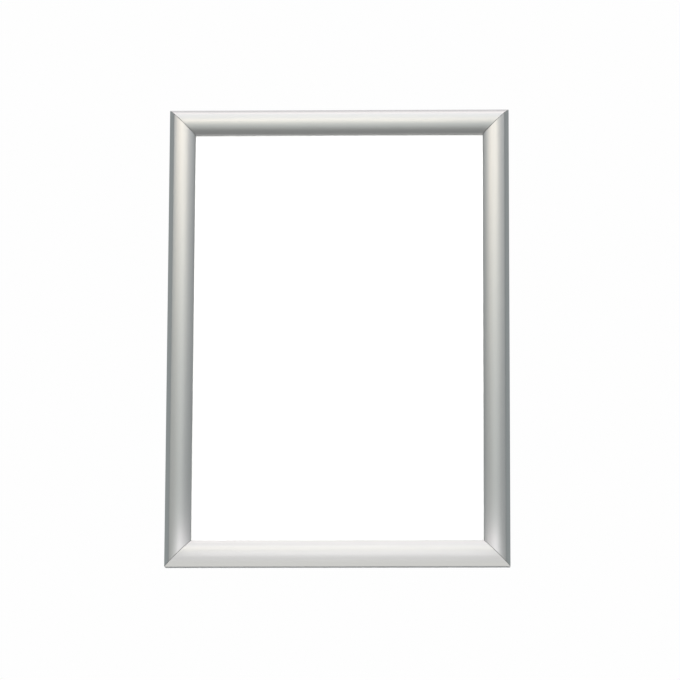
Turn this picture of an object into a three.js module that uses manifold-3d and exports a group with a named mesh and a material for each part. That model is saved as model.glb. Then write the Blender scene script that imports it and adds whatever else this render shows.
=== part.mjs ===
// Snap poster frame for one printed sheet, hung upright on a wall.
// Millimetres. X is the width and Z is up. The wall is the plane y = 0 and the front faces -Y.
// Every rail is drawn as a section in (u, v): u runs inward from the outer edge of the frame,
// v runs forward from the wall.

import * as THREE from 'three';
import { mergeVertices } from 'three/addons/utils/BufferGeometryUtils.js';
import Module from 'manifold-3d';

const wasm = await Module();
wasm.setup();

// The printed sheet that the frame holds
const posterWidth = 297;
const posterHeight = 420;
const posterPlay = 0.1;

// Overall section of a rail
const railWidth = 25;
const railDepth = 12;
const posterInset = 15;
const mitreGap = 0.3;
const seatGap = 0.3;

// Curved face of a snap cover
const skinThickness = 1.2;
const crestInset = 11.5;
const kneeInset = 4.5;
const shoulderRadius = 17;
const lipRadius = 1.5;
const lipThickness = 1.1;
const lipDrop = 1.0;

// Hinge: a bead along the cover turns in a slotted tube along the base
const beadRadius = 1.4;
const beadClearance = 0.1;
const tubeWall = 1.0;
const hingeHeight = 4.4;
const baseSetback = 0.1;
const neckThickness = 0.8;
const neckAngle = 63;
const neckReach = 6;
const openAngle = 90;
const mouthMargin = 4.5;
const skirtClearance = 0.3;

// Arm of the cover and rib of the base, which hold the two ends of each spring clip
const armInset = 6.9;
const armThickness = 0.8;
const armFoot = 3.3;
const toeLength = 0.7;
const toeThickness = 0.6;
const ribInset = 11.9;
const ribThickness = 0.9;
const ribHeight = 10.1;
const hookLength = 2.3;
const hookThickness = 0.6;
const notchFromRib = 1.05;
const notchLength = 0.5;
const notchDepth = 0.35;

// Base rail
const floorThickness = 1.2;
const tubeFootAngle = 240;
const stopThickness = 0.8;
const ledgeHeight = 3.3;
const ledgeThickness = 1.2;
const ledgeSetback = 0.6;
const footThickness = 1.0;
const keyLipLength = 1.0;
const keyLipThickness = 0.7;

// Corner keys that join the base rails
const keyThickness = 1.5;
const keyLength = 40;
const keyGap = 0.25;
const keySideGap = 0.3;
const stakeHoleRadius = 1.3;
const stakeHoleInset = 8;
const stakeHolePitch = 16;

// Spring clips
const clipThickness = 0.5;
const clipWidth = 14;
const clipBow = 1.6;
const clipEndGap = 0.35;
const clipFromCorner = 80;
const clipSpacing = 170;

// Sheets behind and in front of the poster
const panelThickness = 1.5;
const posterGap = 0.3;
const coverSheetThickness = 0.5;

// Screw holes to the wall, in the floor of the two upright rails
const screwHoleRadius = 2.25;
const screwFromCorner = 55;

// Fineness of the round stretches, in degrees for one step
const faceStep = 1;
const tightStep = 12;
const holeSides = 20;
const mergeDistance = 1e-4;

// Sizes that follow from the ones above
const frameWidth = posterWidth + 2 * posterInset;
const frameHeight = posterHeight + 2 * posterInset;
const socketRadius = beadRadius + beadClearance;
const tubeRadius = socketRadius + tubeWall;
const hingeInset = baseSetback + tubeRadius;
const skirtAngle = 180 - openAngle / 2;
const skirtRadius = tubeRadius + skirtClearance;
const skirtHeight = hingeHeight + hingeInset * Math.tan(radians(180 - skirtAngle));
const neckHalfAngle = degrees(Math.asin(neckThickness / 2 / socketRadius));
const mouthStart = neckAngle - neckHalfAngle - mouthMargin;
const mouthEnd = neckAngle + openAngle + neckHalfAngle + mouthMargin;
const stopInset = posterInset - posterPlay;
const ledgeInset = railWidth - ledgeSetback;
const panelBack = ledgeHeight + seatGap;
const panelFront = panelBack + panelThickness;
const sheetBack = panelFront + posterGap;
const sheetFront = sheetBack + coverSheetThickness;
const lipFoot = sheetFront + seatGap;
const lipCentreInset = railWidth - lipRadius;
const lipCentreHeight = lipFoot + lipDrop;
const faceRadius = faceRadiusFor(lipCentreInset - crestInset, railDepth - lipCentreHeight);
const faceCentre = railDepth - faceRadius;
const keyLipHeight = floorThickness + 2 * keyGap + keyThickness;
const channelStart = hingeInset + tubeRadius;

function radians(angle) {
  return angle * Math.PI / 180;
}

function degrees(angle) {
  return angle * 180 / Math.PI;
}

function polar(centre, radius, angle) {
  return [
    centre[0] + radius * Math.cos(radians(angle)),
    centre[1] + radius * Math.sin(radians(angle)),
  ];
}

// Points along an arc from one angle to the other, both ends included
function arc(centre, radius, from, to, step) {
  const count = Math.max(1, Math.ceil(Math.abs(to - from) / step));
  const points = [];
  for (let i = 0; i <= count; i += 1) {
    points.push(polar(centre, radius, from + (to - from) * i / count));
  }
  return points;
}

// Radius of the face that is level at the crest and runs smoothly into the rounded lip.
// The centre of the lip lies the given way across and down from the crest.
function faceRadiusFor(across, down) {
  return (across ** 2 + down ** 2 - lipRadius ** 2) / (2 * (down - lipRadius));
}

// Arc of a given radius between two points, bulging to the left of the way from a to b
function arcBetween(a, b, radius, step) {
  const half = Math.hypot(b[0] - a[0], b[1] - a[1]) / 2;
  const rise = Math.sqrt(radius * radius - half * half);
  const along = [(b[0] - a[0]) / (2 * half), (b[1] - a[1]) / (2 * half)];
  const centre = [
    (a[0] + b[0]) / 2 + along[1] * rise,
    (a[1] + b[1]) / 2 - along[0] * rise,
  ];
  const from = degrees(Math.atan2(a[1] - centre[1], a[0] - centre[0]));
  const turn = 2 * degrees(Math.asin(half / radius));
  return arc(centre, radius, from, from - turn, step);
}

// Section of a snap cover: curved skin, pressing lip, spring arm, neck and hinge bead
function coverSection() {
  const hinge = [hingeInset, hingeHeight];
  const face = [crestInset, faceCentre];
  const onFace = (u, radius) => faceCentre + Math.sqrt(radius ** 2 - (u - crestInset) ** 2);
  const knee = [kneeInset, onFace(kneeInset, faceRadius)];
  const kneeAngle = degrees(Math.atan2(knee[1] - face[1], knee[0] - face[0]));

  const lipCentre = [lipCentreInset, lipCentreHeight];
  const lipAngle = degrees(Math.atan2(lipCentre[1] - face[1], lipCentre[0] - face[0]));
  const lipBack = railWidth - lipThickness;

  const inside = faceRadius - skinThickness;
  const armBack = armInset + armThickness;
  const insideAngle = (u) => degrees(Math.acos((u - crestInset) / inside));

  const neckSide = [Math.sin(radians(neckAngle)), -Math.cos(radians(neckAngle))];
  const neckTop = polar(hinge, neckReach, neckAngle);
  const neckInner = [
    neckTop[0] + neckSide[0] * neckThickness / 2,
    neckTop[1] + neckSide[1] * neckThickness / 2,
  ];
  const beadHalf = degrees(Math.asin(neckThickness / 2 / beadRadius));
  const skirtHalf = degrees(Math.asin(neckThickness / 2 / skirtRadius));

  return [
    ...arcBetween([0, skirtHeight], knee, shoulderRadius, faceStep).slice(0, -1),
    ...arc(face, faceRadius, kneeAngle, lipAngle, faceStep).slice(0, -1),
    ...arc(lipCentre, lipRadius, lipAngle, 0, tightStep),
    [railWidth, lipFoot],
    [lipBack, lipFoot],
    ...arc(face, inside, insideAngle(lipBack), insideAngle(armBack), 3 * faceStep),
    [armBack, armFoot + toeThickness],
    [armBack + toeLength, armFoot + toeThickness],
    [armBack + toeLength, armFoot],
    [armInset, armFoot],
    [armInset, onFace(armInset, inside)],
    neckInner,
    ...arc(hinge, beadRadius, neckAngle - beadHalf, neckAngle + beadHalf - 360, tightStep),
    ...arc(hinge, skirtRadius, neckAngle + skirtHalf, skirtAngle, tightStep),
  ];
}

// Section of a base rail: floor, hinge tube, key channel, spring rib, poster stop and ledge
function baseSection() {
  const hinge = [hingeInset, hingeHeight];
  const tubeFoot = polar(hinge, tubeRadius, tubeFootAngle);
  const ribBack = ribInset + ribThickness;
  const hookFoot = ribHeight - hookThickness;
  const notchInset = ribInset - notchFromRib;
  const lipTop = keyLipHeight + keyLipThickness;
  const ledgeBottom = ledgeHeight - ledgeThickness;
  return [
    [baseSetback, 0],
    [stopInset, 0],
    [stopInset, ledgeBottom],
    [ledgeInset - footThickness, ledgeBottom],
    [ledgeInset - footThickness, 0],
    [ledgeInset, 0],
    [ledgeInset, ledgeHeight],
    [stopInset, ledgeHeight],
    [stopInset, sheetFront],
    [stopInset - stopThickness, sheetFront],
    [stopInset - stopThickness, floorThickness],
    [ribBack, floorThickness],
    [ribBack, ribHeight],
    [ribInset - hookLength, ribHeight],
    [ribInset - hookLength, hookFoot],
    [notchInset - notchLength, hookFoot],
    [notchInset - notchLength, hookFoot - notchDepth],
    [notchInset, hookFoot - notchDepth],
    [notchInset, hookFoot],
    [ribInset, hookFoot],
    [ribInset, lipTop],
    [ribInset - keyLipLength, lipTop],
    [ribInset - keyLipLength, keyLipHeight],
    [ribInset, keyLipHeight],
    [ribInset, floorThickness],
    [channelStart, floorThickness],
    [channelStart, keyLipHeight],
    [channelStart + keyLipLength, keyLipHeight],
    [channelStart + keyLipLength, lipTop],
    [channelStart, lipTop],
    ...arc(hinge, tubeRadius, 0, mouthStart, tightStep),
    ...arc(hinge, socketRadius, mouthStart, mouthEnd - 360, tightStep),
    ...arc(hinge, tubeRadius, mouthEnd, tubeFootAngle, tightStep),
    [tubeFoot[0], floorThickness],
    [baseSetback, floorThickness],
  ];
}

// Section of a spring clip: a strip bowed between the toe of the arm and the notch of the hook.
// Its ends come closest when the cover is a third open, so it snaps the cover either way.
function clipSection() {
  const coverEnd = [
    armInset + armThickness + clipEndGap,
    armFoot + toeThickness + clipEndGap,
  ];
  const baseEnd = [
    ribInset - notchFromRib - notchLength - clipEndGap,
    ribHeight - hookThickness - clipEndGap,
  ];
  const half = Math.hypot(baseEnd[0] - coverEnd[0], baseEnd[1] - coverEnd[1]) / 2;
  const radius = (half * half + clipBow * clipBow) / (2 * clipBow);
  const outer = arcBetween(baseEnd, coverEnd, radius, tightStep);
  const centre = centreOf(outer[0], outer[1], outer[2]);
  const inner = outer.map((p) => {
    const reach = (radius - clipThickness) / radius;
    return [centre[0] + (p[0] - centre[0]) * reach, centre[1] + (p[1] - centre[1]) * reach];
  });
  return [...outer, ...inner.reverse()];
}

// Centre of the circle through three points
function centreOf(a, b, c) {
  const d = 2 * (a[0] * (b[1] - c[1]) + b[0] * (c[1] - a[1]) + c[0] * (a[1] - b[1]));
  const sa = a[0] ** 2 + a[1] ** 2;
  const sb = b[0] ** 2 + b[1] ** 2;
  const sc = c[0] ** 2 + c[1] ** 2;
  return [
    (sa * (b[1] - c[1]) + sb * (c[1] - a[1]) + sc * (a[1] - b[1])) / d,
    (sa * (c[0] - b[0]) + sb * (a[0] - c[0]) + sc * (b[0] - a[0])) / d,
  ];
}

// Prism of a section along X. halfAt gives half its length at each distance u.
function prism(section, halfAt) {
  const shape = new THREE.Shape(section.map(([u, v]) => new THREE.Vector2(-v, -u)));
  const geometry = new THREE.ExtrudeGeometry(shape, { depth: 1, steps: 1, bevelEnabled: false });
  const position = geometry.getAttribute('position');
  for (let i = 0; i < position.count; i += 1) {
    const y = position.getX(i);
    const z = position.getY(i);
    const side = position.getZ(i) > 0.5 ? 1 : -1;
    position.setXYZ(i, side * halfAt(-z), y, z);
  }
  geometry.computeVertexNormals();
  return geometry;
}

// Rail with both ends cut at 45 degrees
function mitred(section, length) {
  const trim = mitreGap / 2 * Math.SQRT2;
  return prism(section, (u) => length / 2 - u - trim);
}

function toSolid(geometry) {
  const bare = geometry.clone();
  bare.deleteAttribute('normal');
  bare.deleteAttribute('uv');
  const merged = mergeVertices(bare, mergeDistance);
  return new wasm.Manifold(new wasm.Mesh({
    numProp: 3,
    vertProperties: new Float32Array(merged.getAttribute('position').array),
    triVerts: new Uint32Array(merged.getIndex().array),
  }));
}

function toGeometry(solid) {
  const mesh = solid.getMesh();
  const geometry = new THREE.BufferGeometry();
  geometry.setAttribute('position', new THREE.BufferAttribute(mesh.vertProperties, 3));
  geometry.setIndex(new THREE.BufferAttribute(mesh.triVerts, 1));
  geometry.computeVertexNormals();
  return geometry;
}

// Cuts tools from a geometry and gives the rest back
function cut(geometry, tools) {
  let solid = toSolid(geometry);
  for (const tool of tools) {
    solid = solid.subtract(toSolid(tool));
  }
  return toGeometry(solid);
}

// Cover with its bead stopped short of the mitres, so that open neighbours pass each other
function coverGeometry(length) {
  const beadReach = hingeInset + socketRadius;
  const beadTop = hingeHeight + socketRadius;
  const overcut = 2;
  const tools = [-1, 1].map((end) => {
    const width = beadReach + overcut;
    const tool = new THREE.BoxGeometry(width, beadTop + overcut, beadReach + overcut);
    tool.translate(
      end * (length / 2 - beadReach - seatGap + width / 2),
      -(beadTop - overcut) / 2,
      -(beadReach - overcut) / 2,
    );
    return tool;
  });
  return cut(mitred(coverSection(), length), tools);
}

// Base rail, with its screw holes at the given places along it
function baseGeometry(length, holes) {
  const geometry = mitred(baseSection(), length);
  const tools = holes.map((x) => {
    const tool = new THREE.CylinderGeometry(
      screwHoleRadius, screwHoleRadius, 4 * floorThickness, holeSides);
    tool.translate(x, 0, -(channelStart + ribInset) / 2);
    return tool;
  });
  return tools.length ? cut(geometry, tools) : geometry;
}

// Flat key for the top left corner, drawn with the outer corner of the frame at the origin
function keyGeometry() {
  const start = channelStart + keySideGap;
  const end = ribInset - keySideGap;
  const reach = start + keyLength;
  const outline = [
    [start, start],
    [reach, start],
    [reach, end],
    [end, end],
    [end, reach],
    [start, reach],
  ];
  const shape = new THREE.Shape(outline.map(([x, y]) => new THREE.Vector2(x, -y)));
  const middle = (start + end) / 2;
  for (const along of [end + stakeHoleInset, end + stakeHoleInset + stakeHolePitch]) {
    for (const [x, y] of [[along, middle], [middle, along]]) {
      const hole = new THREE.Path();
      const ring = arc([x, -y], stakeHoleRadius, 0, 360, 360 / holeSides).slice(0, -1);
      hole.setFromPoints(ring.map((p) => new THREE.Vector2(p[0], p[1])));
      shape.holes.push(hole);
    }
  }
  const geometry = new THREE.ExtrudeGeometry(shape, {
    depth: keyThickness, steps: 1, bevelEnabled: false });
  geometry.rotateX(Math.PI / 2);
  geometry.translate(0, -(floorThickness + keyGap), 0);
  return geometry;
}

// Flat sheet that fills the pocket between the poster stops
function sheetGeometry(back, thickness) {
  const margin = 2 * (stopInset + seatGap);
  const geometry = new THREE.BoxGeometry(
    frameWidth - margin, thickness, frameHeight - margin);
  geometry.translate(0, -(back + thickness / 2), 0);
  return geometry;
}

function metal(color, roughness) {
  return new THREE.MeshStandardMaterial({ color, roughness, metalness: 1 });
}

function plastic(color, roughness, opacity = 1) {
  return new THREE.MeshStandardMaterial({
    color, roughness, metalness: 0, opacity, transparent: opacity < 1 });
}

const frame = new THREE.Group();

function add(parent, name, geometry, material) {
  const mesh = new THREE.Mesh(geometry, material);
  mesh.name = name;
  parent.add(mesh);
  return mesh;
}

// The four sides: a group each, turned so that its local +Z points out of the frame
const sides = [
  { name: 'top', length: frameWidth, turn: 0, place: [0, 0, frameHeight / 2] },
  { name: 'right', length: frameHeight, turn: 90, place: [frameWidth / 2, 0, 0] },
  { name: 'bottom', length: frameWidth, turn: 180, place: [0, 0, -frameHeight / 2] },
  { name: 'left', length: frameHeight, turn: -90, place: [-frameWidth / 2, 0, 0] },
];

for (const side of sides) {
  const group = new THREE.Group();
  group.position.set(...side.place);
  group.rotation.y = radians(side.turn);
  frame.add(group);

  const upright = side.length === frameHeight;
  const reach = side.length / 2 - screwFromCorner;
  const base = baseGeometry(side.length, upright ? [-reach, reach] : []);
  add(group, `base_rail_${side.name}`, base, metal(0xa9abac, 0.5));
  add(group, `snap_cover_${side.name}`, coverGeometry(side.length), metal(0xc4c4c2, 0.36));

  // Clips stand no further apart than the spacing, the first and last at the same distance from a corner
  const span = side.length - 2 * clipFromCorner;
  const gaps = Math.ceil(span / clipSpacing);
  for (let i = 0; i <= gaps; i += 1) {
    const clip = add(group, `spring_clip_${side.name}_${i + 1}`,
      prism(clipSection(), () => clipWidth / 2), metal(0x8d8f92, 0.3));
    clip.position.x = span * (i / gaps - 0.5);
  }
}

// The four corner keys, each turned into its own corner
const corners = [
  { name: 'top_left', turn: 0, x: -1, z: 1 },
  { name: 'top_right', turn: 90, x: 1, z: 1 },
  { name: 'bottom_right', turn: 180, x: 1, z: -1 },
  { name: 'bottom_left', turn: -90, x: -1, z: -1 },
];

for (const corner of corners) {
  const key = add(frame, `corner_key_${corner.name}`, keyGeometry(), metal(0xb5b8b6, 0.4));
  key.position.set(corner.x * frameWidth / 2, 0, corner.z * frameHeight / 2);
  key.rotation.y = radians(corner.turn);
}

add(frame, 'back_panel', sheetGeometry(panelBack, panelThickness), plastic(0xf4f4f2, 0.6));
add(frame, 'clear_cover_sheet', sheetGeometry(sheetBack, coverSheetThickness),
  plastic(0xffffff, 0.25, 0.2));

export default frame;
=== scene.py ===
import math

import bmesh
import bpy
from mathutils import Matrix, Quaternion, Vector


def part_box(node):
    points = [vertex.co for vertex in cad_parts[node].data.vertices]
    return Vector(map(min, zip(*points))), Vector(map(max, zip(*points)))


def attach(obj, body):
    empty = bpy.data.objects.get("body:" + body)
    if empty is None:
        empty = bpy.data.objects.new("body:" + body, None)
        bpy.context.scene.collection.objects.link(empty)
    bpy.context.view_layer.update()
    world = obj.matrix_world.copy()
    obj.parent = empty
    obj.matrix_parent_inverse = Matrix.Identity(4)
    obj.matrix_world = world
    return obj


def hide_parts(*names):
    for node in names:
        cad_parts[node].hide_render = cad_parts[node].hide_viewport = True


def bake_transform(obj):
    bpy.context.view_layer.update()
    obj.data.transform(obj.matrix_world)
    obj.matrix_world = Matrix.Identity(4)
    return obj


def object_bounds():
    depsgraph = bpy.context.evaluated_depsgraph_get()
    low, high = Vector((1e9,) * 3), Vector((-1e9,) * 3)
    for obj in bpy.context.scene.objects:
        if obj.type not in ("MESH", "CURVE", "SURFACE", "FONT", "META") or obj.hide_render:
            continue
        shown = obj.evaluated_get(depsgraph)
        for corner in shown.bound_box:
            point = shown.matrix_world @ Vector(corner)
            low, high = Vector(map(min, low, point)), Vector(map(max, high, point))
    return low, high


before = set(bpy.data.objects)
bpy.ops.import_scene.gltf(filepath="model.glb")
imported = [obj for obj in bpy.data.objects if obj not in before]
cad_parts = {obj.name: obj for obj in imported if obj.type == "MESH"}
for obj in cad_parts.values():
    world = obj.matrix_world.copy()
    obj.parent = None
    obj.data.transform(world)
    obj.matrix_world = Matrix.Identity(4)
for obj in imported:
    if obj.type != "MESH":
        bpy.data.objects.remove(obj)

cadLow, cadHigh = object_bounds()
mm = 0.001
print("frame loaded,", len(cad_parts), "CAD nodes")


# Small helpers for colours, nodes and objects

def linearColour(hexText):
    # Undoes the sRGB curve
    channels = [int(hexText[i:i + 2], 16) / 255 for i in (1, 3, 5)]
    return [c / 12.92 if c <= 0.04045 else ((c + 0.055) / 1.055) ** 2.4 for c in channels] + [1.0]


def addNode(tree, kind, settings=None, links=None):
    # A setting goes to the input of that name or number, or else to the node itself
    node = tree.nodes.new(kind)
    for name, value in (settings or {}).items():
        if isinstance(name, int) or name in node.inputs:
            node.inputs[name].default_value = value
        else:
            setattr(node, name, value)
    for name, source in (links or {}).items():
        tree.links.new(source, node.inputs[name])
    return node


def newMaterial(name):
    material = bpy.data.materials.new(name)
    material.use_nodes = True
    material.node_tree.nodes.clear()
    return material, material.node_tree


def makeBlock(size, middle=(0, 0, 0)):
    shape = bmesh.new()
    bmesh.ops.create_cube(shape, size=1)
    bmesh.ops.scale(shape, verts=shape.verts[:], vec=size)
    bmesh.ops.translate(shape, verts=shape.verts[:], vec=middle)
    return shape


def newPiece(name, shape, materials):
    mesh = bpy.data.meshes.new(name)
    shape.to_mesh(mesh)
    shape.free()
    mesh.shade_smooth()
    piece = bpy.data.objects.new(name, mesh)
    bpy.context.scene.collection.objects.link(piece)
    for material in materials:
        mesh.materials.append(material)
    return piece


# Camera, fitted to the eight corners of the frame in the photograph

cameraView = {
    "azimuth": 1.65,        # degrees to the right of straight on
    "elevation": -14.5,     # degrees, seen from a little below
    "roll": 0.255,
    "distance": 4.848,
    "target": (0.0017, -0.006, -0.004),
    "lens": 268.9,          # millimetres, as is the sensor
    "sensorWidth": 36,
    "nearest": 0.1,
    "farthest": 200,
}


def makeCamera():
    data = bpy.data.cameras.new("camera")
    data.lens = cameraView["lens"]
    data.sensor_width = cameraView["sensorWidth"]
    data.clip_start = cameraView["nearest"]
    data.clip_end = cameraView["farthest"]
    camera = bpy.data.objects.new("camera", data)
    bpy.context.scene.collection.objects.link(camera)
    azimuth = math.radians(cameraView["azimuth"])
    elevation = math.radians(cameraView["elevation"])
    back = Vector((
        math.sin(azimuth) * math.cos(elevation),
        -math.cos(azimuth) * math.cos(elevation),
        math.sin(elevation)))
    camera.location = Vector(cameraView["target"]) + back * cameraView["distance"]
    camera.rotation_mode = "QUATERNION"
    roll = Quaternion((0, 0, 1), math.radians(cameraView["roll"]))
    camera.rotation_quaternion = (-back).to_track_quat("-Z", "Y") @ roll
    bpy.context.scene.camera = camera


makeCamera()
print("camera placed")


# Materials, with the size of each pattern in millimetres

def perMetre(millimetres):
    return 1000 / millimetres


def stretchedScale(acrossMm, alongMm, along):
    # A pattern that is fine across the rail and drawn out along it
    scale = [perMetre(acrossMm)] * 3
    scale["xyz".index(along)] = perMetre(alongMm)
    return scale


def metalSurface(tree, finish, tint, wear, relief):
    # Plain metal, whose colour, roughness and height each follow a pattern
    colour = addNode(tree, "ShaderNodeMix",
                     {"data_type": "RGBA", 6: linearColour(finish["colour"]),
                      7: linearColour(finish["secondColour"])},
                     {0: tint.outputs["Fac"]})
    roughness = addNode(tree, "ShaderNodeMapRange",
                        {"To Min": finish["roughness"] - finish["roughnessSpread"],
                         "To Max": finish["roughness"] + finish["roughnessSpread"]},
                        {"Value": wear.outputs["Fac"]})
    bump = addNode(tree, "ShaderNodeBump",
                   {"Strength": 1.0, "Distance": finish["reliefMm"] * mm},
                   {"Height": relief.outputs["Fac"]})
    surface = addNode(tree, "ShaderNodeBsdfPrincipled", {"Metallic": 1.0},
                      {"Base Color": colour.outputs[2], "Roughness": roughness.outputs["Result"],
                       "Normal": bump.outputs["Normal"]})
    addNode(tree, "ShaderNodeOutputMaterial", links={"Surface": surface.outputs["BSDF"]})
    return surface, bump


coverFinish = {
    "colour": "#c6c6c4",
    "secondColour": "#c0c1c0",
    "roughness": 0.34,
    "roughnessSpread": 0.04,
    "anisotropy": 0.35,
    "anisotropyTurn": 0.25,     # a quarter turn, so that highlights spread across the die lines
    "streakMm": 2.5,            # real die lines are nearer 0.3 mm, drawn coarser so that they show
    "lineMm": 0.4,
    "lineLengthMm": 180,
    "reliefMm": 0.003,
    "grainMm": 0.35,            # etched grain is about 0.05 mm, drawn coarser so that it shows
    "grainHeightMm": 0.002,
}


def silverAnodised(along):
    # Satin silver anodised aluminium, extruded, etched and anodised: a soft grey metal whose
    # highlights spread across the die lines, with faint streaks that run the length of the rail
    material, tree = newMaterial("silverAnodised." + along)
    finish = coverFinish
    place = addNode(tree, "ShaderNodeTexCoord")
    linePlace = addNode(
        tree, "ShaderNodeMapping",
        {"Scale": stretchedScale(finish["lineMm"], finish["lineLengthMm"], along)},
        {"Vector": place.outputs["Object"]})
    streakPlace = addNode(
        tree, "ShaderNodeMapping",
        {"Scale": stretchedScale(finish["streakMm"], finish["lineLengthMm"], along)},
        {"Vector": place.outputs["Object"]})
    lines = addNode(tree, "ShaderNodeTexNoise", {"Scale": 1.0, "Detail": 2.0},
                    {"Vector": linePlace.outputs["Vector"]})
    streaks = addNode(tree, "ShaderNodeTexNoise", {"Scale": 1.0, "Detail": 3.0, "Roughness": 0.6},
                      {"Vector": streakPlace.outputs["Vector"]})
    surface, lineBump = metalSurface(tree, finish, streaks, streaks, lines)
    # The etched grain lies under the die lines
    grain = addNode(tree, "ShaderNodeTexNoise",
                    {"Scale": perMetre(finish["grainMm"]), "Detail": 2.0},
                    {"Vector": place.outputs["Object"]})
    grainBump = addNode(tree, "ShaderNodeBump",
                        {"Strength": 1.0, "Distance": finish["grainHeightMm"] * mm},
                        {"Height": grain.outputs["Fac"]})
    lineWay = addNode(tree, "ShaderNodeCombineXYZ", {along.upper(): 1.0})
    surface.inputs["Anisotropic"].default_value = finish["anisotropy"]
    surface.inputs["Anisotropic Rotation"].default_value = finish["anisotropyTurn"]
    tree.links.new(grainBump.outputs["Normal"], lineBump.inputs["Normal"])
    tree.links.new(lineWay.outputs["Vector"], surface.inputs["Tangent"])
    return material


sawnFinish = {
    "colour": "#d4d4d2",
    "secondColour": "#b9b9b8",
    "roughness": 0.30,
    "roughnessSpread": 0.08,
    "markMm": 2.2,              # real saw marks are about 0.3 mm, drawn coarser so that they show
    "reliefMm": 0.012,
}
waveRadians = 20                # how far a wave texture turns in one unit


def sawnAluminium():
    # Bare aluminium where the mitre saw cut the rail: brighter than the anodised skin,
    # with fine parallel saw marks
    material, tree = newMaterial("sawnAluminium")
    place = addNode(tree, "ShaderNodeTexCoord")
    marks = addNode(tree, "ShaderNodeTexWave",
                    {"Scale": perMetre(sawnFinish["markMm"]) * math.tau / waveRadians,
                     "Distortion": 1.5, "Detail": 2.0, "bands_direction": "Y"},
                    {"Vector": place.outputs["Object"]})
    metalSurface(tree, sawnFinish, marks, marks, marks)
    return material


baseFinish = {
    "colour": "#b3b5b6",
    "secondColour": "#a2a4a6",
    "roughness": 0.46,
    "roughnessSpread": 0.08,
    "lineMm": 1.6,
    "lineLengthMm": 120,
    "reliefMm": 0.008,
}


def extrudedAluminium(along):
    # Mill finish aluminium as it leaves the die: duller and greyer than the anodised covers,
    # with plain lengthwise die lines
    material, tree = newMaterial("extrudedAluminium." + along)
    finish = baseFinish
    place = addNode(tree, "ShaderNodeTexCoord")
    linePlace = addNode(
        tree, "ShaderNodeMapping",
        {"Scale": stretchedScale(finish["lineMm"], finish["lineLengthMm"], along)},
        {"Vector": place.outputs["Object"]})
    lines = addNode(tree, "ShaderNodeTexNoise", {"Scale": 1.0, "Detail": 4.0, "Roughness": 0.65},
                    {"Vector": linePlace.outputs["Vector"]})
    metalSurface(tree, finish, lines, lines, lines)
    return material


springFinish = {
    "colour": "#8f9194",
    "secondColour": "#7c7e84",
    "roughness": 0.28,
    "roughnessSpread": 0.07,
    "patchMm": 4,
    "rollMm": 0.6,
    "reliefMm": 0.004,
}


def temperedSteel():
    # Tempered spring steel strip, cold rolled: a darker, half gloss grey with slight bluish patches
    material, tree = newMaterial("temperedSteel")
    place = addNode(tree, "ShaderNodeTexCoord")
    patches = addNode(tree, "ShaderNodeTexNoise",
                      {"Scale": perMetre(springFinish["patchMm"]), "Detail": 3.0},
                      {"Vector": place.outputs["Object"]})
    rolled = addNode(tree, "ShaderNodeTexNoise",
                     {"Scale": perMetre(springFinish["rollMm"]), "Detail": 2.0},
                     {"Vector": place.outputs["Object"]})
    metalSurface(tree, springFinish, patches, rolled, rolled)
    return material


keyFinish = {
    "colour": "#bcc0c0",
    "secondColour": "#b6b7a8",
    "roughness": 0.38,
    "roughnessSpread": 0.10,
    "cloudMm": 6,
    "grainMm": 0.5,
    "reliefMm": 0.005,
}


def zincPlatedSteel():
    # Pressed steel with bright zinc plating: pale, cloudy, with the faint yellow and blue
    # tint of the passivated layer
    material, tree = newMaterial("zincPlatedSteel")
    place = addNode(tree, "ShaderNodeTexCoord")
    clouds = addNode(tree, "ShaderNodeTexNoise",
                     {"Scale": perMetre(keyFinish["cloudMm"]), "Detail": 4.0},
                     {"Vector": place.outputs["Object"]})
    grain = addNode(tree, "ShaderNodeTexNoise",
                    {"Scale": perMetre(keyFinish["grainMm"]), "Detail": 2.0},
                    {"Vector": place.outputs["Object"]})
    metalSurface(tree, keyFinish, clouds, clouds, grain)
    return material


panelFinish = {
    "colour": "#f8f8f6",
    "secondColour": "#f5f5f3",
    "roughness": 0.55,
    "ior": 1.59,
    "cloudMm": 35,
    "pebbleMm": 0.9,
    "pebbleHeightMm": 0.006,
}


def whitePolystyrene():
    # Calendered white polystyrene sheet: matt, very slightly pebbled and almost pure white
    material, tree = newMaterial("whitePolystyrene")
    finish = panelFinish
    place = addNode(tree, "ShaderNodeTexCoord")
    clouds = addNode(tree, "ShaderNodeTexNoise",
                     {"Scale": perMetre(finish["cloudMm"]), "Detail": 2.0},
                     {"Vector": place.outputs["Object"]})
    pebbles = addNode(tree, "ShaderNodeTexNoise",
                      {"Scale": perMetre(finish["pebbleMm"]), "Detail": 2.0},
                      {"Vector": place.outputs["Object"]})
    colour = addNode(tree, "ShaderNodeMix",
                     {"data_type": "RGBA", 6: linearColour(finish["colour"]),
                      7: linearColour(finish["secondColour"])},
                     {0: clouds.outputs["Fac"]})
    bump = addNode(tree, "ShaderNodeBump",
                   {"Strength": 1.0, "Distance": finish["pebbleHeightMm"] * mm},
                   {"Height": pebbles.outputs["Fac"]})
    surface = addNode(tree, "ShaderNodeBsdfPrincipled",
                      {"Roughness": finish["roughness"], "IOR": finish["ior"]},
                      {"Base Color": colour.outputs[2], "Normal": bump.outputs["Normal"]})
    addNode(tree, "ShaderNodeOutputMaterial", links={"Surface": surface.outputs["BSDF"]})
    return material


clearFinish = {
    "roughness": 0.22,
    "ior": 1.54,
    "frostMm": 0.4,
    "frostHeightMm": 0.003,
}


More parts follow.
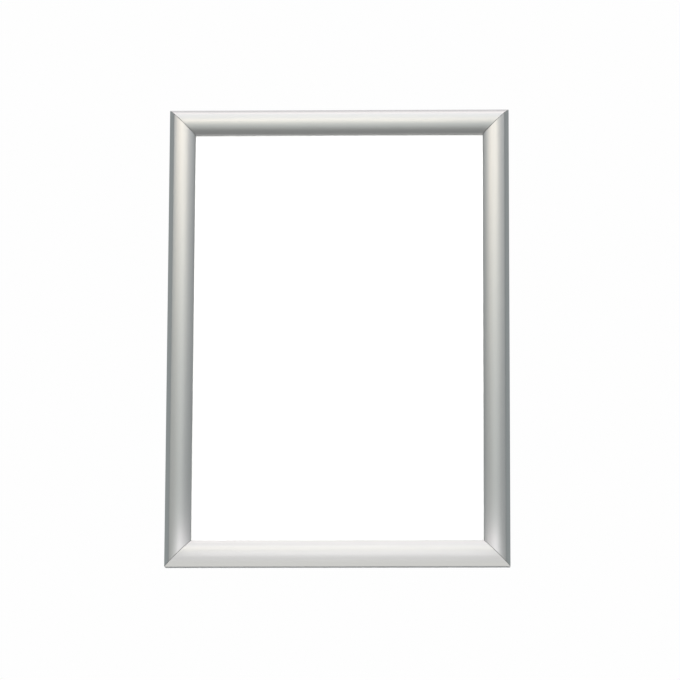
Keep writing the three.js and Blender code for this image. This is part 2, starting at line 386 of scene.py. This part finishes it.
def antiGlareSheet():
    # Clear PVC with a fine etched face: see-through head on, with a soft sheen where it
    # catches the light
    material, tree = newMaterial("antiGlareSheet")
    finish = clearFinish
    place = addNode(tree, "ShaderNodeTexCoord")
    frost = addNode(tree, "ShaderNodeTexNoise",
                    {"Scale": perMetre(finish["frostMm"]), "Detail": 2.0},
                    {"Vector": place.outputs["Object"]})
    bump = addNode(tree, "ShaderNodeBump",
                   {"Strength": 1.0, "Distance": finish["frostHeightMm"] * mm},
                   {"Height": frost.outputs["Fac"]})
    edgeOn = addNode(tree, "ShaderNodeFresnel", {"IOR": finish["ior"]})
    fromInside = addNode(tree, "ShaderNodeNewGeometry")
    mirrored = addNode(tree, "ShaderNodeMix", {"data_type": "FLOAT", 3: 0.0},
                       {0: fromInside.outputs["Backfacing"], 2: edgeOn.outputs["Fac"]})
    through = addNode(tree, "ShaderNodeBsdfTransparent")
    sheen = addNode(tree, "ShaderNodeBsdfGlossy", {"Roughness": finish["roughness"]},
                    {"Normal": bump.outputs["Normal"]})
    surface = addNode(tree, "ShaderNodeMixShader",
                      links={0: mirrored.outputs[0], 1: through.outputs["BSDF"],
                             2: sheen.outputs["BSDF"]})
    addNode(tree, "ShaderNodeOutputMaterial", links={"Surface": surface.outputs["Shader"]})
    return material


finishes = {
    "coverX": silverAnodised("x"),
    "coverZ": silverAnodised("z"),
    "baseX": extrudedAluminium("x"),
    "baseZ": extrudedAluminium("z"),
    "sawn": sawnAluminium(),
    "spring": temperedSteel(),
    "key": zincPlatedSteel(),
    "panel": whitePolystyrene(),
    "clear": antiGlareSheet(),
}
print("materials made:", len(finishes))


# Sections are drawn with a pen in (u, v) millimetres: u runs in from the frame's outer edge,
# v runs forward from the wall. Angles are in degrees and turn from u towards v. A rail lies
# along X with its outer edge at z = 0.

def startOutline(u, v):
    shape = bmesh.new()
    return shape, shape.verts.new((0, -v * mm, -u * mm))


def lineTo(shape, pen, *points):
    for u, v in points:
        pen = bmesh.ops.extrude_vert_indiv(shape, verts=[pen])["verts"][0]
        pen.co = (0, -v * mm, -u * mm)
    return pen


def arcTo(shape, pen, centre, endAngle, turn, step):
    # turn is 1 from u towards v and -1 for the other way, and step is the most degrees that
    # lie between two points
    startAngle = math.degrees(math.atan2(-pen.co.y / mm - centre[1], -pen.co.z / mm - centre[0]))
    sweep = (endAngle - startAngle) * turn % 360 * turn
    made = bmesh.ops.spin(
        shape, geom=[pen], cent=(0, -centre[1] * mm, -centre[0] * mm), axis=(1, 0, 0),
        angle=-math.radians(sweep), steps=max(1, math.ceil(abs(sweep) / step)),
        use_merge=False, use_duplicate=False)
    return made["geom_last"][0]


def polar(centre, radius, angle):
    return (centre[0] + radius * math.cos(math.radians(angle)),
            centre[1] + radius * math.sin(math.radians(angle)))


def angleOf(centre, point):
    return math.degrees(math.atan2(point[1] - centre[1], point[0] - centre[0]))


def extrudeOutline(shape, pen, length):
    # Closes the outline and draws it out along X, centred on x = 0
    shape.verts.ensure_lookup_table()
    shape.edges.new((pen, shape.verts[0]))
    bmesh.ops.contextual_create(shape, geom=shape.edges[:])
    bmesh.ops.translate(shape, verts=shape.verts[:], vec=(-length / 2, 0, 0))
    drawn = bmesh.ops.extrude_face_region(shape, geom=shape.faces[:])
    moved = [part for part in drawn["geom"] if isinstance(part, bmesh.types.BMVert)]
    bmesh.ops.translate(shape, verts=moved, vec=(length, 0, 0))
    bmesh.ops.recalc_face_normals(shape, faces=shape.faces[:])
    return shape


mitre = {
    "gap": 0.3,
    "sawnSlot": 1,          # the second material of each rail
    "tolerance": 1e-7,
}


def mitreEnds(shape, length):
    # Cuts both ends at 45 degrees with half the mitre gap off each, and caps them
    trim = mitre["gap"] / 2 * math.sqrt(2) * mm
    for end in (-1, 1):
        cut = bmesh.ops.bisect_plane(
            shape, geom=shape.verts[:] + shape.edges[:] + shape.faces[:], dist=mitre["tolerance"],
            plane_co=(end * (length / 2 - trim), 0, 0), plane_no=(end, 0, -1), clear_outer=True)
        rim = [part for part in cut["geom_cut"] if isinstance(part, bmesh.types.BMEdge)]
        cap = bmesh.ops.contextual_create(shape, geom=rim)["faces"]
        for face in cap:
            face.material_index = mitre["sawnSlot"]
    bmesh.ops.recalc_face_normals(shape, faces=shape.faces[:])
    return shape


edges = {
    "breakMm": 0.12,
    "segments": 2,
    "angle": 11,            # degrees, above the steps of the arcs
    "flatWeight": 50,
}


def finishPiece(piece, breakMm=edges["breakMm"]):
    # Breaks the sharp edges by a hair and keeps the flat faces flat
    bevel = piece.modifiers.new("brokenEdges", "BEVEL")
    bevel.width = breakMm * mm
    bevel.segments = edges["segments"]
    bevel.limit_method = "ANGLE"
    bevel.angle_limit = math.radians(edges["angle"])
    bevel.profile = 0.5
    bevel.material = -1
    bevel.use_clamp_overlap = True
    weights = piece.modifiers.new("flatFaces", "WEIGHTED_NORMAL")
    weights.weight = edges["flatWeight"]
    return piece


def cutOut(piece, cutter):
    # Takes the cutter away from the piece for good
    tool = newPiece("cutter", cutter, [])
    boolean = piece.modifiers.new("cut", "BOOLEAN")
    boolean.operation = "DIFFERENCE"
    boolean.solver = "EXACT"
    boolean.object = tool
    evaluated = piece.evaluated_get(bpy.context.evaluated_depsgraph_get())
    mesh = bpy.data.meshes.new_from_object(evaluated)
    piece.modifiers.clear()
    piece.data = mesh
    mesh.shade_smooth()
    bpy.data.objects.remove(tool)
    return piece


def drillHole(piece, radiusMm, segments, depthMm, place):
    # A round hole from front to back, with a drill longer than the metal is thick
    cutter = bmesh.new()
    bmesh.ops.create_cone(cutter, cap_ends=True, segments=segments, radius1=radiusMm * mm,
                          radius2=radiusMm * mm, depth=depthMm * mm)
    bmesh.ops.rotate(cutter, verts=cutter.verts[:],
                     matrix=Matrix.Rotation(math.radians(90), 3, "X"))
    bmesh.ops.translate(cutter, verts=cutter.verts[:], vec=place)
    return cutOut(piece, cutter)


# The four sides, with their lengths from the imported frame

frameWidth = cadHigh.x - cadLow.x
frameHeight = cadHigh.z - cadLow.z
sides = [
    {"name": "top", "along": "x", "turn": 0, "place": (0, 0, frameHeight / 2)},
    {"name": "right", "along": "z", "turn": 90, "place": (frameWidth / 2, 0, 0)},
    {"name": "bottom", "along": "x", "turn": 180, "place": (0, 0, -frameHeight / 2)},
    {"name": "left", "along": "z", "turn": -90, "place": (-frameWidth / 2, 0, 0)},
]
for side in sides:
    side["length"] = frameWidth if side["along"] == "x" else frameHeight
    side["matrix"] = (Matrix.Translation(side["place"])
                      @ Matrix.Rotation(math.radians(side["turn"]), 4, "Y"))


# Snap covers

hinge = {
    "centre": (2.6, 4.4),
    "beadRadius": 1.4,
    "socketRadius": 1.5,
    "tubeRadius": 2.5,
    "neckAngle": 63,        # of the neck between bead and face, while the cover is shut
    "neckThickness": 0.8,
    "neckReach": 6,
}
cover = {
    "width": 25,
    "depth": 12,
    "skin": 1.2,
    "crest": 11.5,          # where the face stands furthest forward
    "knee": 4.5,            # where the face turns into the sloping shoulder
    "shoulderRadius": 17,
    "skirtHeight": 7.0,
    "skirtAngle": 135,      # how far the skirt reaches round the hinge tube
    "skirtRadius": 2.8,
    "lipRadius": 1.5,
    "lipThickness": 1.1,
    "lipFoot": 6.2,
    "lipHeight": 7.2,
    "arm": 6.9,             # its toe holds the outer ends of the spring clips
    "armThickness": 0.8,
    "armFoot": 3.3,
    "toeLength": 0.7,
    "toeThickness": 0.6,
    "beadCutBack": 4.4,
    "faceStep": 1.5,        # for the wide arcs
    "tightStep": 6,         # for the small ones
}


def coverOutline():
    # The face is level at the crest and runs into the round of the lip without a corner
    lipCentre = (cover["width"] - cover["lipRadius"], cover["lipHeight"])
    across = lipCentre[0] - cover["crest"]
    down = cover["depth"] - lipCentre[1]
    faceRadius = ((across ** 2 + down ** 2 - cover["lipRadius"] ** 2)
                  / (2 * (down - cover["lipRadius"])))
    face = (cover["crest"], cover["depth"] - faceRadius)
    inside = faceRadius - cover["skin"]

    def onFace(u, radius):
        return face[1] + math.sqrt(radius ** 2 - (u - face[0]) ** 2)

    # The shoulder is an arc of its own from the outer edge to the knee
    start = Vector((0, cover["skirtHeight"]))
    knee = Vector((cover["knee"], onFace(cover["knee"], faceRadius)))
    half = (knee - start).length / 2
    along = (knee - start).normalized()
    rise = math.sqrt(cover["shoulderRadius"] ** 2 - half ** 2)
    shoulder = (start + knee) / 2 + Vector((along.y, -along.x)) * rise

    lipBack = cover["width"] - cover["lipThickness"]
    armBack = cover["arm"] + cover["armThickness"]
    toeEnd = armBack + cover["toeLength"]
    toeTop = cover["armFoot"] + cover["toeThickness"]
    centre = hinge["centre"]
    neck = hinge["neckAngle"]
    neckHalf = hinge["neckThickness"] / 2
    neckTop = polar(polar(centre, hinge["neckReach"], neck), neckHalf, neck - 90)
    beadHalf = math.degrees(math.asin(neckHalf / hinge["beadRadius"]))
    skirtHalf = math.degrees(math.asin(neckHalf / cover["skirtRadius"]))

    shape, pen = startOutline(*start)
    pen = arcTo(shape, pen, shoulder, angleOf(shoulder, knee), -1, cover["faceStep"])
    pen = arcTo(shape, pen, face, angleOf(face, lipCentre), -1, cover["faceStep"])
    pen = arcTo(shape, pen, lipCentre, 0, -1, cover["tightStep"])
    pen = lineTo(shape, pen, (cover["width"], cover["lipFoot"]), (lipBack, cover["lipFoot"]),
                 (lipBack, onFace(lipBack, inside)))
    pen = arcTo(shape, pen, face, angleOf(face, (armBack, onFace(armBack, inside))), 1,
                cover["faceStep"])
    pen = lineTo(shape, pen, (armBack, toeTop), (toeEnd, toeTop), (toeEnd, cover["armFoot"]),
                 (cover["arm"], cover["armFoot"]), (cover["arm"], onFace(cover["arm"], inside)),
                 neckTop, polar(centre, hinge["beadRadius"], neck - beadHalf))
    pen = arcTo(shape, pen, centre, neck + beadHalf, -1, cover["tightStep"])
    pen = lineTo(shape, pen, polar(centre, cover["skirtRadius"], neck + skirtHalf))
    pen = arcTo(shape, pen, centre, cover["skirtAngle"], 1, cover["tightStep"])
    return shape, pen


def makeCover(side):
    length = side["length"]
    shape = mitreEnds(extrudeOutline(*coverOutline(), length), length)
    piece = newPiece(side["name"] + "Cover", shape,
                     [finishes["cover" + side["along"].upper()], finishes["sawn"]])
    # The bead stops short of the mitres, so that open neighbours pass each other
    reach = (hinge["centre"][0] + hinge["socketRadius"]) * mm
    top = (hinge["centre"][1] + hinge["socketRadius"]) * mm
    cutBack = cover["beadCutBack"] * mm
    for end in (-1, 1):
        cutOut(piece, makeBlock((2 * cutBack, 2 * top, 2 * reach), (end * length / 2, 0, 0)))
    piece.data.transform(side["matrix"])
    finishPiece(piece)
    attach(piece, side["name"] + "_cover")
    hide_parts("snap_cover_" + side["name"])
    return piece


covers = [makeCover(side) for side in sides]
print("snap covers made:", len(covers))


# Base rails

base = {
    "setback": 0.1,         # from the outer edge of the cover
    "floor": 1.2,
    "tubeFootAngle": 240,   # where the hinge tube runs down into the floor
    "mouthStart": 43,       # the slot in the tube, where the neck of the cover comes out
    "mouthEnd": 173,
    "stop": 14.9,           # beside the sheets
    "stopThickness": 0.8,
    "stopHeight": 5.9,
    "ledgeEnd": 24.4,
    "ledgeHeight": 3.3,
    "ledgeThickness": 1.2,
    "footThickness": 1.0,
    "rib": 11.9,            # its hook holds the inner ends of the spring clips
    "ribThickness": 0.9,
    "ribHeight": 10.1,
    "hookLength": 2.3,
    "hookThickness": 0.6,
    "notchFromRib": 1.05,   # a nib under the hook, which leaves a notch for the ends
    "notchLength": 0.5,
    "notchDepth": 0.35,
    "lipLength": 1.0,
    "lipThickness": 0.7,
    "lipHeight": 3.2,
    "holeRadius": 2.25,
    "holeSegments": 48,
    "holeFromEnd": 55,
    "tightStep": 6,
}


def baseOutline():
    centre = hinge["centre"]
    channel = centre[0] + hinge["tubeRadius"]
    tubeFoot = polar(centre, hinge["tubeRadius"], base["tubeFootAngle"])
    stopBack = base["stop"] - base["stopThickness"]
    ledgeBack = base["ledgeHeight"] - base["ledgeThickness"]
    foot = base["ledgeEnd"] - base["footThickness"]
    ribBack = base["rib"] + base["ribThickness"]
    hookFoot = base["ribHeight"] - base["hookThickness"]
    notch = base["rib"] - base["notchFromRib"]
    lipTop = base["lipHeight"] + base["lipThickness"]
    floor = base["floor"]

    shape, pen = startOutline(base["setback"], 0)
    pen = lineTo(
        shape, pen, (base["stop"], 0), (base["stop"], ledgeBack), (foot, ledgeBack), (foot, 0),
        (base["ledgeEnd"], 0), (base["ledgeEnd"], base["ledgeHeight"]),
        (base["stop"], base["ledgeHeight"]), (base["stop"], base["stopHeight"]),
        (stopBack, base["stopHeight"]), (stopBack, floor), (ribBack, floor),
        (ribBack, base["ribHeight"]), (base["rib"] - base["hookLength"], base["ribHeight"]),
        (base["rib"] - base["hookLength"], hookFoot), (notch - base["notchLength"], hookFoot),
        (notch - base["notchLength"], hookFoot - base["notchDepth"]),
        (notch, hookFoot - base["notchDepth"]), (notch, hookFoot), (base["rib"], hookFoot),
        (base["rib"], lipTop), (base["rib"] - base["lipLength"], lipTop),
        (base["rib"] - base["lipLength"], base["lipHeight"]), (base["rib"], base["lipHeight"]),
        (base["rib"], floor), (channel, floor), (channel, base["lipHeight"]),
        (channel + base["lipLength"], base["lipHeight"]), (channel + base["lipLength"], lipTop),
        (channel, lipTop), polar(centre, hinge["tubeRadius"], 0))
    pen = arcTo(shape, pen, centre, base["mouthStart"], 1, base["tightStep"])
    pen = lineTo(shape, pen, polar(centre, hinge["socketRadius"], base["mouthStart"]))
    pen = arcTo(shape, pen, centre, base["mouthEnd"], -1, base["tightStep"])
    pen = lineTo(shape, pen, polar(centre, hinge["tubeRadius"], base["mouthEnd"]))
    pen = arcTo(shape, pen, centre, base["tubeFootAngle"], 1, base["tightStep"])
    pen = lineTo(shape, pen, (tubeFoot[0], floor), (base["setback"], floor))
    return shape, pen


def makeBase(side):
    length = side["length"]
    shape = mitreEnds(extrudeOutline(*baseOutline(), length), length)
    piece = newPiece(side["name"] + "BaseRail", shape,
                     [finishes["base" + side["along"].upper()], finishes["sawn"]])
    if side["along"] == "z":
        # Screw holes to the wall, in the floor of the channel
        middle = (hinge["centre"][0] + hinge["tubeRadius"] + base["rib"]) / 2 * mm
        for end in (-1, 1):
            spot = (end * (length / 2 - base["holeFromEnd"] * mm), 0, -middle)
            drillHole(piece, base["holeRadius"], base["holeSegments"], 4 * base["floor"], spot)
    piece.data.transform(side["matrix"])
    finishPiece(piece)
    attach(piece, "frame")
    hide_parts("base_rail_" + side["name"])
    return piece


bases = [makeBase(side) for side in sides]
print("base rails made:", len(bases))


# Spring clips

clip = {
    "thickness": 0.5,
    "bow": 1.6,             # rise of the arc over the line between its ends
    "endGap": 0.35,         # from the seat at either end
    "bendPast": 0.10,       # share of the clip's chord past its outer end that still bends
    "breakMm": 0.08,
    "step": 4,
}


def clipEnds():
    # On the toe of the cover's arm, and under the hook of the base
    atCover = Vector((cover["arm"] + cover["armThickness"] + clip["endGap"],
                      cover["armFoot"] + cover["toeThickness"] + clip["endGap"]))
    atBase = Vector((base["rib"] - base["notchFromRib"] - base["notchLength"] - clip["endGap"],
                     base["ribHeight"] - base["hookThickness"] - clip["endGap"]))
    return atCover, atBase


def makeClip(side, node):
    atCover, atBase = clipEnds()
    half = (atBase - atCover).length / 2
    radius = (half ** 2 + clip["bow"] ** 2) / (2 * clip["bow"])
    along = (atCover - atBase).normalized()
    centre = (atBase + atCover) / 2 + Vector((along.y, -along.x)) * (radius - clip["bow"])
    coverAngle = angleOf(centre, atCover)
    baseAngle = angleOf(centre, atBase)
    inner = radius - clip["thickness"]
    shape, pen = startOutline(*atBase)
    pen = arcTo(shape, pen, centre, coverAngle, -1, clip["step"])
    pen = lineTo(shape, pen, polar(centre, inner, coverAngle))
    pen = arcTo(shape, pen, centre, baseAngle, 1, clip["step"])
    low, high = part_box(node)
    unturned = side["matrix"].inverted()
    middle = unturned @ ((low + high) / 2)
    size = unturned.to_3x3() @ (high - low)
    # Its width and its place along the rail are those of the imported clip
    shape = extrudeOutline(shape, pen, abs(size.x))
    bmesh.ops.translate(shape, verts=shape.verts[:], vec=(middle.x, 0, 0))
    bmesh.ops.transform(shape, verts=shape.verts[:], matrix=side["matrix"])
    number = node.rsplit("_", 1)[1]
    piece = newPiece(side["name"] + "SpringClip" + number, shape, [finishes["spring"]])
    finishPiece(piece, clip["breakMm"])
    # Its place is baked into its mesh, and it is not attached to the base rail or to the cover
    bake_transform(piece)
    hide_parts(node)
    return piece


clips = []
for side in sides:
    for node in sorted(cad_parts):
        if node.startswith("spring_clip_" + side["name"]):
            clips.append(makeClip(side, node))
print("spring clips made:", len(clips))


# Corner keys

key = {
    "start": 5.4,           # from the outer edges of the frame
    "width": 6.2,
    "length": 40,
    "thickness": 1.5,
    "back": 1.45,           # from the wall
    "holeRadius": 1.3,
    "holeSegments": 32,
    "holeInset": 8,
    "holePitch": 16,
    "breakMm": 0.15,
}
corners = [
    {"name": "top_left", "turn": 0, "x": -1, "z": 1},
    {"name": "top_right", "turn": 90, "x": 1, "z": 1},
    {"name": "bottom_right", "turn": 180, "x": 1, "z": -1},
    {"name": "bottom_left", "turn": -90, "x": -1, "z": -1},
]


def makeKey(corner):
    # The corner square first, then an arm drawn out of two of its faces
    width = key["width"] * mm
    arm = (key["length"] - key["width"]) * mm
    middle = (key["start"] + key["width"] / 2) * mm
    depth = (key["back"] + key["thickness"] / 2) * mm
    shape = makeBlock((width, key["thickness"] * mm, width))
    for way in (Vector((1, 0, 0)), Vector((0, 0, -1))):
        face = min(shape.faces, key=lambda f: (f.calc_center_median() - way * width / 2).length)
        drawn = bmesh.ops.extrude_face_region(shape, geom=[face])
        moved = [part for part in drawn["geom"] if isinstance(part, bmesh.types.BMVert)]
        bmesh.ops.translate(shape, verts=moved, vec=way * arm)
    bmesh.ops.translate(shape, verts=shape.verts[:], vec=(middle, -depth, -middle))
    bmesh.ops.recalc_face_normals(shape, faces=shape.faces[:])
    name = "".join(word.capitalize() for word in corner["name"].split("_"))
    piece = newPiece("cornerKey" + name, shape, [finishes["key"]])
    firstHole = (key["start"] + key["width"] + key["holeInset"]) * mm
    for along in (firstHole, firstHole + key["holePitch"] * mm):
        for spot in ((along, -depth, -middle), (middle, -depth, -along)):
            drillHole(piece, key["holeRadius"], key["holeSegments"], 3 * key["thickness"], spot)
    piece.data.transform(
        Matrix.Translation((corner["x"] * frameWidth / 2, 0, corner["z"] * frameHeight / 2))
        @ Matrix.Rotation(math.radians(corner["turn"]), 4, "Y"))
    finishPiece(piece, key["breakMm"])
    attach(piece, "frame")
    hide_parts("corner_key_" + corner["name"])
    return piece


keys = [makeKey(corner) for corner in corners]
print("corner keys made:", len(keys))


# Back panel and clear cover sheet, which take their sizes from the frame

sheets = {
    "backPanel": {"node": "back_panel", "finish": "panel", "slot": "white_polystyrene",
                  "breakMm": 0.15},
    "clearCoverSheet": {"node": "clear_cover_sheet", "finish": "clear", "slot": "clear_sheet",
                        "breakMm": 0.08},
}


def makeSheet(name, facts):
    low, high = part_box(facts["node"])
    shape = makeBlock(high - low, (low + high) / 2)
    bmesh.ops.bevel(shape, geom=shape.edges[:], offset=facts["breakMm"] * mm, affect="EDGES",
                    segments=edges["segments"], profile=0.5, material=-1)
    piece = newPiece(name, shape, [finishes[facts["finish"]]])
    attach(piece, "frame")
    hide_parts(facts["node"])
    return piece


for name, facts in sheets.items():
    sheet = makeSheet(name, facts)
    # The lips of the covers mirror the dark pocket under them, as in the photograph
    sheet.visible_glossy = False
print("sheets made:", len(sheets))


# Studio: a plain pale floor far below, soft lamps and a pale room

studio = {
    "floorHeight": -5.5,       # low enough to look up at the frame from underneath
    "floorSize": 80,
    "floorColour": "#f4f4f2",
    "mottleColour": "#f1f1ef",
    "mottlesPerMetre": 0.6,
    "floorRoughness": 0.9,
    "background": "#fefefe",
}


def paleFloor():
    # Painted studio floor: matt, nearly white, with the faintest mottling
    material, tree = newMaterial("paleFloor")
    place = addNode(tree, "ShaderNodeTexCoord")
    mottle = addNode(tree, "ShaderNodeTexNoise",
                     {"Scale": studio["mottlesPerMetre"], "Detail": 2.0},
                     {"Vector": place.outputs["Object"]})
    colour = addNode(tree, "ShaderNodeMix",
                     {"data_type": "RGBA", 6: linearColour(studio["floorColour"]),
                      7: linearColour(studio["mottleColour"])},
                     {0: mottle.outputs["Fac"]})
    surface = addNode(tree, "ShaderNodeBsdfPrincipled", {"Roughness": studio["floorRoughness"]},
                      {"Base Color": colour.outputs[2]})
    addNode(tree, "ShaderNodeOutputMaterial", links={"Surface": surface.outputs["BSDF"]})
    return material


def makeFloor():
    shape = bmesh.new()
    bmesh.ops.create_grid(shape, x_segments=1, y_segments=1, size=studio["floorSize"] / 2)
    bmesh.ops.translate(shape, verts=shape.verts[:], vec=(0, 0, studio["floorHeight"]))
    floor = newPiece("studioFloor", shape, [paleFloor()])
    floor.visible_glossy = False      # the rails mirror the room's shading and not the floor
    floor.visible_diffuse = False


# What the metal mirrors: plain walls, and a soft glow added above, below, behind and at the sides
walls = {"level": 0.20, "tint": "#ffffff"}
glows = {
    "ceiling": {"way": "up", "from": 0.25, "to": 0.85, "level": 0.35, "tint": "#f8f3ff"},
    "below": {"way": "up", "from": -0.05, "to": -0.5, "level": 0.10, "tint": "#ffffff"},
    "behind": {"way": "back", "from": 0.35, "to": 0.9, "level": 0.40, "tint": "#ffffff"},
    "sides": {"way": "aside", "from": 0.70, "to": 0.98, "level": 0.32, "tint": "#e9fbff"},
}


def makeRoom():
    # The camera sees a plain white background instead of the room
    world = bpy.data.worlds.new("studioRoom")
    world.use_nodes = True
    tree = world.node_tree
    tree.nodes.clear()
    place = addNode(tree, "ShaderNodeTexCoord")
    axes = addNode(tree, "ShaderNodeSeparateXYZ", links={"Vector": place.outputs["Generated"]})
    aside = addNode(tree, "ShaderNodeMath", {"operation": "ABSOLUTE"}, {0: axes.outputs["X"]})
    ways = {"up": axes.outputs["Z"], "back": axes.outputs["Y"], "aside": aside.outputs["Value"]}
    total = addNode(tree, "ShaderNodeBackground",
                    {"Strength": walls["level"], "Color": linearColour(walls["tint"])})
    for facts in glows.values():
        level = addNode(tree, "ShaderNodeMapRange",
                        {"interpolation_type": "SMOOTHSTEP", "From Min": facts["from"],
                         "From Max": facts["to"], "To Min": 0.0, "To Max": facts["level"]},
                        {"Value": ways[facts["way"]]})
        glow = addNode(tree, "ShaderNodeBackground", {"Color": linearColour(facts["tint"])},
                       {"Strength": level.outputs["Result"]})
        total = addNode(tree, "ShaderNodeAddShader",
                        links={0: total.outputs[0], 1: glow.outputs["Background"]})
    seen = addNode(tree, "ShaderNodeBackground",
                   {"Strength": 1.0, "Color": linearColour(studio["background"])})
    path = addNode(tree, "ShaderNodeLightPath")
    either = addNode(tree, "ShaderNodeMixShader",
                     links={0: path.outputs["Is Camera Ray"], 1: total.outputs[0],
                            2: seen.outputs["Background"]})
    addNode(tree, "ShaderNodeOutputWorld", links={"Surface": either.outputs["Shader"]})
    bpy.context.scene.world = world


# The front softboxes stand a little apart, so that each is mirrored by itself
lamps = {
    "leftSoftbox": {"place": (-0.475, -1.0, 0.70), "facing": (0, 1, 0), "size": (1.45, 1.6),
                    "radiance": 0.44, "tint": "#f9fffb"},
    "rightSoftbox": {"place": (0.475, -1.02, 0.70), "facing": (0, 1, 0), "size": (1.45, 1.6),
                     "radiance": 0.32, "tint": "#f2fcff"},
    "highSoftbox": {"place": (0, -1.04, 1.05), "facing": (0, 1, 0), "size": (2.4, 0.9),
                    "radiance": 0.49, "tint": "#fbf9ff"},
    "stripLight": {"place": (-0.175, -0.98, 0.525), "facing": (0, 1, 0), "size": (0.85, 0.15),
                   "radiance": 2.0, "tint": "#ffedd8"},
    "middleSoftbox": {"place": (0, -0.96, 0.35), "facing": (0, 1, 0), "size": (1.2, 0.2),
                      "radiance": 0.38, "tint": "#fffbf1"},
    "overheadFront": {"place": (0, -0.3, 1.0), "facing": (0, 0, -1), "size": (1.2, 0.6),
                      "radiance": 1.53, "tint": "#fff8f6"},
    "overheadBack": {"place": (0, 0.3, 1.0), "facing": (0, 0, -1), "size": (1.2, 0.6),
                     "radiance": 0.45, "tint": "#ffffff"},
    # Small cards close under the bottom rail, which light nothing and are only mirrored by it
    "lowFrontCard": {"place": (0, -0.25, -0.25), "facing": (0, 1, 0), "size": (0.5, 0.16),
                     "radiance": 0.84, "tint": "#fffdfe", "lighting": False},
    "nearFrontCard": {"place": (0, -0.12, -0.185), "facing": (0, 1, 0), "size": (0.31, 0.03),
                      "radiance": 0.88, "tint": "#fff3fa", "lighting": False},
    "lowBackCard": {"place": (0, 0.10, -0.251), "facing": (0, -1, 0), "size": (0.42, 0.056),
                    "radiance": 1.98, "tint": "#ffffff", "lighting": False},
    "underCard": {"place": (0, -0.052, -0.27), "facing": (0, 0.01, 1), "size": (0.5, 0.145),
                  "radiance": 0.82, "tint": "#fffefb", "lighting": False},
    # These lift the two faces of the white panel, and aren't mirrored by the metal
    "panelFill": {"place": (0, -2.5, 0), "facing": (0, 1, 0), "size": (1.5, 1.5),
                  "radiance": 8.0, "tint": "#ffffff", "mirrored": False},
    "backFill": {"place": (0, 2.5, 0), "facing": (0, -1, 0), "size": (1.5, 1.5),
                 "radiance": 2.0, "tint": "#ffffff", "mirrored": False},
}


def makeLamps():
    for name, facts in lamps.items():
        data = bpy.data.lights.new(name, "AREA")
        data.shape = "RECTANGLE"
        data.size, data.size_y = facts["size"]
        # An area lamp of P watts has a radiance of P / (pi x area)
        data.energy = facts["radiance"] * math.pi * data.size * data.size_y
        data.color = linearColour(facts["tint"])[:3]
        lamp = bpy.data.objects.new(name, data)
        lamp.location = facts["place"]
        lamp.rotation_euler = Vector(facts["facing"]).to_track_quat("-Z", "Y").to_euler()
        lamp.visible_camera = False
        lamp.visible_glossy = facts.get("mirrored", True)
        lamp.visible_diffuse = facts.get("lighting", True)
        bpy.context.scene.collection.objects.link(lamp)


# Even light from straight above, which keeps the floor pale and isn't mirrored by the metal
skylight = {"strength": 1.5, "angle": 60}


def makeSkylight():
    data = bpy.data.lights.new("skylight", "SUN")
    data.energy = skylight["strength"]
    data.angle = math.radians(skylight["angle"])
    lamp = bpy.data.objects.new("skylight", data)
    lamp.visible_glossy = False
    bpy.context.scene.collection.objects.link(lamp)


makeFloor()
makeRoom()
makeLamps()
makeSkylight()
bpy.context.scene.view_settings.view_transform = "Standard"
print("studio made:", len(lamps), "lamps")
